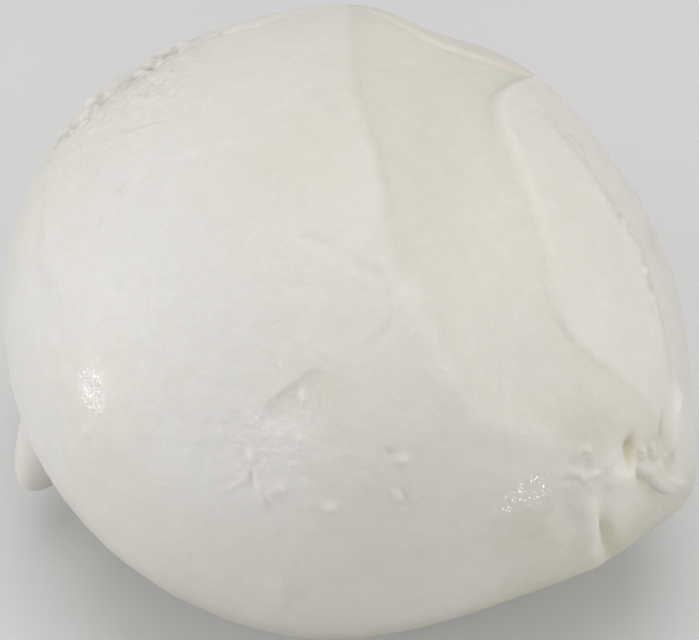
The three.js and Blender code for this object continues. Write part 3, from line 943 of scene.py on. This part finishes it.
# Yellow-brown of gathered whey, with painted shade in every crevice, on the crease's steep wall
# and under the lip.
def gathered_whey_and_shade_mask(points, normals, bend):
    lip_shade = band(points, normals, 0.6, 1.4, LIP_LINE, offset=-2.2, start=0.15, end=0.6)
    crease_wall_shade = band(points, normals, 0.3, 1.6, CREASE_LINE, start=0.7, end=0.3)
    in_pit = band(points, normals, 1.1, 0.9, PIT_LINE, reach=1.2)
    dents = sum(over(each, points, normals) for each in (furrow, pucker, pit_shade))
    at_knot = bell(length(points - KNOT_AT) / KNOT_SURROUNDS)
    crevice_shade = smooth(bend, 0.25, 1.6)
    return add_up(
        (0.4, dents), (0.35, lip_shade), (0.5, crease_wall_shade), (0.6, in_pit),
        (0.15 + 0.4 * at_knot, crevice_shade),
    )


# %% All the masks
FRONT_FROM, FRONT_FULL = -14, -4  # w between which the colours of the face begin


def zone_masks(points, normals, bend):
    front = smooth(points[:, 2], FRONT_FROM, FRONT_FULL)
    # Painted shade where the lower skin turns away from the camera.
    turned_away_shade = smooth(normals[:, 2], 0.5, 0.05) * smooth(-points[:, 1], 15, 35)
    in_panel = panel_share(points, normals, front)
    rim_lumps, rim_gaps = rim_crumbs(points, normals)
    shoulder_lumps, shoulder_gaps = shoulder_crumbs(points, normals)
    scaly = add_up(
        (1, at_inner_rim(points, normals)), (0.5, patches(ROUGH_PATCHES, points)), (0.08, front),
    )
    return {
        "cream": cream_mask(points, normals, in_panel),
        "milk": patches(MILK_PATCHES, points) * (1 - in_panel),
        "butter": patches(BUTTER_PATCHES, points),
        "whey_and_shade": whey_and_shade_mask(points, normals, front, turned_away_shade, shoulder_gaps),
        "pale_and_painted_light": pale_and_painted_light_mask(points, normals, rim_lumps, shoulder_lumps),
        "painted_shade": painted_shade_mask(points, normals, front, turned_away_shade, rim_gaps),
        "gathered_whey_and_shade": gathered_whey_and_shade_mask(points, normals, bend),
        "wet": patches(WET_PATCHES, points),
        "scaly": scaly,
    }


ball_points = read_rows(ball.data.vertices, "co") / MM
ball_normals = read_rows(ball.data.vertex_normals, "vector")
bend = hollowness(ball.data, ball_points, ball_normals)
for mask_name, mask_values in zone_masks(plain_points, plain_normals, bend).items():
    store(ball.data, mask_name, mask_values)

# %% [markdown]
# ## Material
#
# Light goes into fresh cheese, scatters in the fat and the water, and comes out a few
# millimetres away, which is what makes it look milky and not like plaster. Subsurface scattering
# does that. Over it lies a thin film of whey, a clear coat, thickest where the skin is wet.
#
# The shades are mixed one over the other by the masks. A coarse and a fine noise then make
# the colour uneven by a few hundredths, because curd is a little different everywhere.

# %% The curd's material
CURD_WHITE = (0.77, 0.75, 0.70, 1)
SHADES = {
    "milk": (0.79, 0.78, 0.755, 1),
    "cream": (0.735, 0.70, 0.625, 1),
    "butter": (0.82, 0.785, 0.70, 1),
    # olive whey, used also as painted shade
    "whey_and_shade": (0.56, 0.55, 0.42, 1),
    # painted shade, grey-olive
    "painted_shade": (0.42, 0.425, 0.38, 1),
    # paler curd, used also as painted light
    "pale_and_painted_light": (0.84, 0.82, 0.80, 1),
    # yellow-brown whey, used also as painted shade in hollows
    "gathered_whey_and_shade": (0.56, 0.50, 0.30, 1),
}
PLATE_WANDER = 1.2  # how far the gaps between plates of skin stray, as a share of a plate
PLATE_GAP = 0.12  # how wide they are


class Graph:
    """Short names for the steps of building a material's node graph."""

    def __init__(self, material):
        self.nodes = material.node_tree.nodes
        self.links = material.node_tree.links
        self.place = self.nodes.new("ShaderNodeTexCoord").outputs["Object"]

    def set(self, node, **values):
        """Set or link a node's inputs, named with _ for a space."""
        for name, value in values.items():
            socket = node.inputs[name.replace("_", " ")]
            if isinstance(value, bpy.types.NodeSocket):
                self.links.new(value, socket)
            else:
                socket.default_value = value
        return node

    def mask(self, name):
        """A mask that is stored on the mesh."""
        node = self.nodes.new("ShaderNodeAttribute")
        node.attribute_name = name
        return node.outputs["Fac"]

    def mix(self, a, b, factor, blend="MIX"):
        """Colour b laid over colour a, as far as the factor says."""
        node = self.nodes.new("ShaderNodeMix")
        node.data_type = "RGBA"
        node.blend_type = blend
        colours = [socket for socket in node.inputs if socket.type == "RGBA"]
        for socket, value in zip(colours, (a, b)):
            if isinstance(value, bpy.types.NodeSocket):
                self.links.new(value, socket)
            else:
                socket.default_value = value
        self.links.new(factor, node.inputs["Factor"])
        return node.outputs[2]

    def noise(self, size, detail=2.0):
        """Noise of this size in millimetres, on the ball's own axes."""
        node = self.nodes.new("ShaderNodeTexNoise")
        self.set(node, Vector=self.place, Scale=1 / (size * MM), Detail=detail)
        return node.outputs["Fac"]

    def cracks(self, size):
        """1 on plates of this size in millimetres, falling to 0 on the thin gaps between them."""
        wander = self.nodes.new("ShaderNodeTexNoise")
        self.set(wander, Vector=self.place, Scale=1 / (size * MM), Detail=1.0)
        moved = self.nodes.new("ShaderNodeVectorMath")
        moved.operation = "MULTIPLY_ADD"
        self.links.new(wander.outputs["Color"], moved.inputs[0])
        moved.inputs[1].default_value = [PLATE_WANDER * size * MM] * 3
        self.links.new(self.place, moved.inputs[2])
        node = self.nodes.new("ShaderNodeTexVoronoi")
        node.feature = "DISTANCE_TO_EDGE"
        self.set(node, Vector=moved.outputs[0], Scale=1 / (size * MM))
        return self.span(node.outputs["Distance"], 0.0, PLATE_GAP)

    def times(self, a, b):
        """One value times another."""
        node = self.nodes.new("ShaderNodeMath")
        node.operation = "MULTIPLY"
        self.links.new(a, node.inputs[0])
        self.links.new(b, node.inputs[1])
        return node.outputs[0]

    def span(self, value, low, high, to_low=0.0, to_high=1.0):
        """The value, spread from between low and high to between two others."""
        node = self.nodes.new("ShaderNodeMapRange")
        self.set(node, Value=value, From_Min=low, From_Max=high, To_Min=to_low, To_Max=to_high)
        return node.outputs["Result"]

    def bump(self, height, depth, normal=None):
        """Bump whose height of 1 stands for depth millimetres."""
        node = self.nodes.new("ShaderNodeBump")
        self.set(node, Height=height, Distance=depth * MM, Strength=1.0)
        if normal is not None:
            self.set(node, Normal=normal)
        return node.outputs["Normal"]


# %% [markdown]
# The bump has two layers: a soft grain all over, and a much stronger one for the coat alone.
# Where the film of whey is thick, it beads on the rough skin, and each bead throws its own tiny
# highlight.

# %% Building the material
CLOUD_SIZE, CLOUD_TINT = 3, (0.98, 0.977, 0.966, 1)
SPECK_SIZE, SPECK_TINT = 0.9, (1.03, 1.03, 1.03, 1)
GRAIN_SIZE, GRAIN_DEPTH = 1.2, 0.09
PLATE_SIZE, PLATE_DEPTH = 2.2, 0.09
BEAD_SIZE, BEAD_DEPTH = 0.8, 0.2
SHEEN_SIZE, SHEEN = 5, (0.38, 0.52)  # roughness on the smoother and the duller spots
FILM = (0.03, 1.0)  # strength of the coat where the skin is dry and where it is wet
WET_ENOUGH = 0.6


def curd_material():
    material = bpy.data.materials.new("fresh_mozzarella")
    material.use_nodes = True
    graph = Graph(material)
    shader = graph.nodes["Principled BSDF"]
    graph.set(
        shader, IOR=1.4, Coat_Roughness=0.08, Coat_IOR=1.6,
        Subsurface_Weight=0.5, Subsurface_Scale=0.002, Subsurface_Radius=(1.0, 0.9, 0.7),
    )

    colour = CURD_WHITE
    for name, shade in SHADES.items():
        colour = graph.mix(colour, shade, graph.mask(name))
    clouds = graph.span(graph.noise(CLOUD_SIZE, 3.0), 0.35, 0.65)
    colour = graph.mix(colour, CLOUD_TINT, clouds, "MULTIPLY")
    specks = graph.span(graph.noise(SPECK_SIZE, 2.0), 0.55, 0.75)
    colour = graph.mix(colour, SPECK_TINT, specks, "MULTIPLY")
    graph.set(shader, Base_Color=colour)

    plates = graph.times(graph.cracks(PLATE_SIZE), graph.mask("scaly"))
    grain = graph.bump(graph.noise(GRAIN_SIZE, 3.0), GRAIN_DEPTH)
    grain = graph.bump(plates, PLATE_DEPTH, grain)
    beaded = graph.bump(graph.noise(BEAD_SIZE, 1.0), BEAD_DEPTH)
    sheen = graph.span(graph.noise(SHEEN_SIZE), 0.3, 0.7, *SHEEN)
    film = graph.span(graph.mask("wet"), 0.0, WET_ENOUGH, *FILM)
    graph.set(shader, Normal=grain, Coat_Normal=beaded, Roughness=sheen, Coat_Weight=film)
    print(len(graph.nodes), "nodes in the material")
    return material


ball.data.materials.append(curd_material())
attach(ball, "root")
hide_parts("mozzarella_ball")

# %% [markdown]
# ## Table and light
#
# A plain pale table and soft light from large panels, as on a cloudy day by a window. Three small
# lamps hang close to the ball, each where one wet patch mirrors it towards the camera. They add
# next to no light, and are there for the film of whey to catch.

# %% Table and light
LIGHTS = [  # name, place, width of the panel, watts
    ("top", (0.0, 0.15, 0.9), 0.7, 3.55),
    ("left", (-0.85, -0.1, 0.3), 0.6, 2.4),
    ("right", (0.85, -0.1, 0.3), 0.6, 1.9),
    ("front", (0.0, -0.6, 0.6), 0.5, 0.85),
]
LAMP_DISTANCE, LAMP_WIDTH, LAMP_WATTS = 0.08, 0.007, 0.0016
LAMP_PATCH = 3  # millimetres round a patch over which the skin's direction is averaged
GLINTS = [(-36.8, -11, 1), (24.8, -25, 2), (-25, -20.8, 1)]  # u, v, strength of the lamp
SKY = 0.33
TABLE_HALF_WIDTH = 2
TABLE_GREY = (0.72, 0.72, 0.72, 1)
TABLE_ROUGHNESS = 0.6


def make_table():
    build = bmesh.new()
    bmesh.ops.create_grid(build, x_segments=1, y_segments=1, size=TABLE_HALF_WIDTH)
    mesh = bpy.data.meshes.new("table")
    build.to_mesh(mesh)
    build.free()
    table = bpy.data.objects.new("table", mesh)
    bpy.context.scene.collection.objects.link(table)
    material = bpy.data.materials.new("table_paint")
    material.use_nodes = True
    shader = material.node_tree.nodes["Principled BSDF"]
    shader.inputs["Base Color"].default_value = TABLE_GREY
    shader.inputs["Roughness"].default_value = TABLE_ROUGHNESS
    mesh.materials.append(material)


def make_panel(name, place, width, watts):
    """A square of light that faces the ball."""
    data = bpy.data.lights.new(name, "AREA")
    data.size = width
    data.energy = watts
    light = bpy.data.objects.new(name, data)
    bpy.context.scene.collection.objects.link(light)
    light.location = place
    aim = BALL_MIDDLE * MM - light.location
    light.rotation_euler = aim.to_track_quat("-Z", "Y").to_euler()
    light.visible_camera = False


def mirror_place(u, v):
    """Where a lamp has to hang for the skin at (u, v) to throw its light into the camera."""
    near = length(plain_points - skin_at(np.array([[u, v]], float))) < LAMP_PATCH
    middle = Vector(ball_points[near].mean(0)) * MM
    normal = Vector(ball_normals[near].mean(0)).normalized()
    return middle - (camera.location - middle).normalized().reflect(normal) * LAMP_DISTANCE


def make_sky():
    world = bpy.data.worlds.new("sky")
    world.use_nodes = True
    background = world.node_tree.nodes["Background"]
    background.inputs["Color"].default_value = (1, 1, 1, 1)
    background.inputs["Strength"].default_value = SKY
    bpy.context.scene.world = world


make_table()
make_sky()
for panel_light in LIGHTS:
    make_panel(*panel_light)
for u, v, strength in GLINTS:
    lamp_place = mirror_place(u, v)
    make_panel("glint_lamp", lamp_place, LAMP_WIDTH, strength * LAMP_WATTS)
    print("a lamp at", tuple(round(x, 3) for x in lamp_place))
bpy.context.scene.view_settings.view_transform = "Standard"
print(len(LIGHTS), "light panels and", len(GLINTS), "small lamps")
